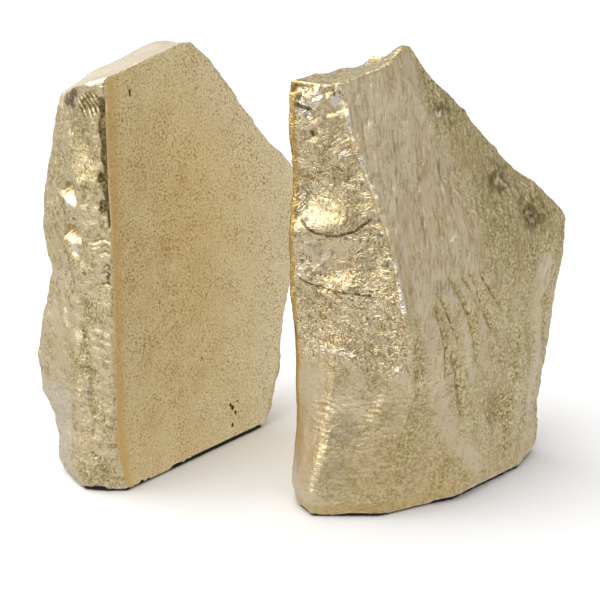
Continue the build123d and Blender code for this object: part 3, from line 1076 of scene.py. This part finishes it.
def brass_material():
    g = Graph("cast_brass")
    textures = BrassTextures(g)
    colour = g.mix(textures.flat, rock_colour(g, textures), face_colour(g, textures))
    g.shade("Base Color", colour)
    g.shade("Metallic", 1.0)
    g.shade("Roughness", brass_roughness(g, textures))
    g.shade("Normal", brass_normal(g, textures))
    return g.material


def rubber_material():
    g = Graph("black_rubber")
    place = g.place()
    grain = g.noise(place, 0.6, 3.0, 0.6)
    g.shade("Base Color", g.ramp(grain, (0.3, 0.008), (0.7, 0.022)))
    g.shade("Roughness", g.ramp(g.noise(place, 6), (0.3, 0.75), (0.7, 0.9)))
    g.shade("Normal", g.bump(grain, 0.12))
    return g.material


def steel_material(name, light, dark, roughness):
    """Finely scratched steel, its brightness between light and dark."""
    g = Graph(name)
    place = g.place()
    scratches = g.noise(place, 1.2, 4.0, 0.7)
    g.shade("Base Color", g.ramp(scratches, (0.3, dark), (0.7, light)))
    g.shade("Metallic", 1.0)
    g.shade("Roughness", g.ramp(g.noise(place, 9), (0.3, roughness), (0.7, roughness + 0.15)))
    g.shade("Normal", g.bump(scratches, 0.03))
    return g.material


# ---------------------------------------------------------------- the pair

brass = brass_material()
rubber = rubber_material()
steels = {
    "base_plate": steel_material("plate_steel", 0.30, 0.20, 0.4),
    "base_screws": steel_material("screw_steel", 0.55, 0.42, 0.3),
}
for side, relief, settled, pad_seed in (
    (Side("left", -1), left_relief, left_settled, 101),
    (Side("right", 1), right_relief, right_settled, 111),
):
    rock_skin(side, relief).data.materials.append(brass)
    pad_skin(side, settled, pad_seed).data.materials.append(rubber)
    for piece, steel in steels.items():
        for slot in bpy.data.objects[f"{side.name}_{piece}"].material_slots:
            slot.material = steel


# ---------------------------------------------------------------- studio

def sheet(name, corners, material):
    mesh = bpy.data.meshes.new(name)
    mesh.from_pydata(corners, [], [(0, 1, 2, 3)])
    mesh.materials.append(material)
    return placed(name, mesh)


def level_corners(reach, height):
    """A level square's corners, in metres, this far from the middle."""
    signs = ((-1, -1), (1, -1), (1, 1), (-1, 1))
    return [(a * reach, b * reach, height) for a, b in signs]


def only_reflected(obj):
    """Lets the object show as a reflection and nowhere else."""
    obj.visible_camera = False
    obj.visible_diffuse = False
    obj.visible_shadow = False
    obj.visible_transmission = False


def floor():
    g = Graph("pale_floor")
    g.shade("Base Color", 0.79)
    g.shade("Roughness", 0.9)
    g.shade("Specular IOR Level", 0.1)
    obj = sheet("floor", level_corners(8.0, 0), g.material)


def reflected_ground():
    """A grey sheet just over the floor that only shows as a reflection in the brass."""
    g = Graph("reflected_ground")
    g.shade("Base Color", 0.0)
    g.shade("Specular IOR Level", 0.0)
    g.shade("Emission Color", 1.0)
    g.shade("Emission Strength", GROUND_GLOW)
    obj = sheet("reflected_ground", level_corners(6.0, GROUND_LIFT * MM), g.material)
    only_reflected(obj)


def dark_flag():
    """A dark card in front of the pair that only shows as a reflection in the brass."""
    middle = Vector((0.115, -0.451, 0.034))
    half_width = Vector((0.98, 0.2, 0)) * 0.125
    half_height = Vector((0, 0, 0.1))
    corners = [middle - half_width - half_height, middle + half_width - half_height]
    corners += [middle + half_width + half_height, middle - half_width + half_height]
    g = Graph("dark_flag")
    g.shade("Base Color", 0.01)
    g.shade("Roughness", 1.0)
    obj = sheet("dark_flag", corners, g.material)
    only_reflected(obj)


def sun(towards, spread, strength):
    """A broad soft light shining from this direction, its width in degrees."""
    data = bpy.data.lights.new("sun", "SUN")
    data.angle = np.radians(spread)
    data.energy = strength
    placed("sun", data).rotation_euler = Vector(towards).to_track_quat("Z", "Y").to_euler()


def world():
    """White light, strongest from high up at the front left and weakest behind the camera."""
    sky = bpy.data.worlds.new("studio")
    bpy.context.scene.world = sky
    sky.use_nodes = True
    tree = sky.node_tree
    where = tree.nodes.new("ShaderNodeTexCoord")

    def facing(direction, low, high):
        """A strength that depends on how nearly a place on the sky lies this way: low and high
        each give a cosine and the strength there."""
        dot = tree.nodes.new("ShaderNodeVectorMath")
        dot.operation = "DOT_PRODUCT"
        dot.inputs[1].default_value = Vector(direction).normalized()
        tree.links.new(where.outputs["Generated"], dot.inputs[0])
        ramp = tree.nodes.new("ShaderNodeMapRange")
        ramp.interpolation_type = "SMOOTHSTEP"
        ramp.inputs["From Min"].default_value, ramp.inputs["To Min"].default_value = low
        ramp.inputs["From Max"].default_value, ramp.inputs["To Max"].default_value = high
        tree.links.new(dot.outputs["Value"], ramp.inputs["Value"])
        return ramp.outputs["Result"]

    times = tree.nodes.new("ShaderNodeMath")
    times.operation = "MULTIPLY"
    tree.links.new(facing((-0.35, -0.45, 0.82), (0.45, 0.56), (0.88, 2.0)), times.inputs[0])
    tree.links.new(facing((0.6, -0.8, 0.15), (0.75, 1.0), (1.0, 0.4)), times.inputs[1])
    background = tree.nodes["Background"]
    background.inputs["Color"].default_value = (1, 1, 1, 1)
    tree.links.new(times.outputs[0], background.inputs["Strength"])


def camera():
    """The camera of the main view, in metres and degrees."""
    azimuth, elevation, distance = np.radians(37.0), np.radians(17.0), 0.755
    target = Vector((0.037956, -0.050014, 0.100))
    level = np.cos(elevation)
    back = Vector((np.sin(azimuth) * level, -np.cos(azimuth) * level, np.sin(elevation)))
    data = bpy.data.cameras.new("camera")
    data.lens = 100
    data.sensor_width = 36
    obj = placed("camera", data)
    obj.location = target + back * distance
    obj.rotation_euler = back.to_track_quat("Z", "Y").to_euler()
    bpy.context.scene.camera = obj


floor()
world()
sun((-0.3, -0.15, 0.9), 60, 1.05)
dark_flag()
reflected_ground()
camera()
bpy.context.scene.view_settings.view_transform = "Standard"
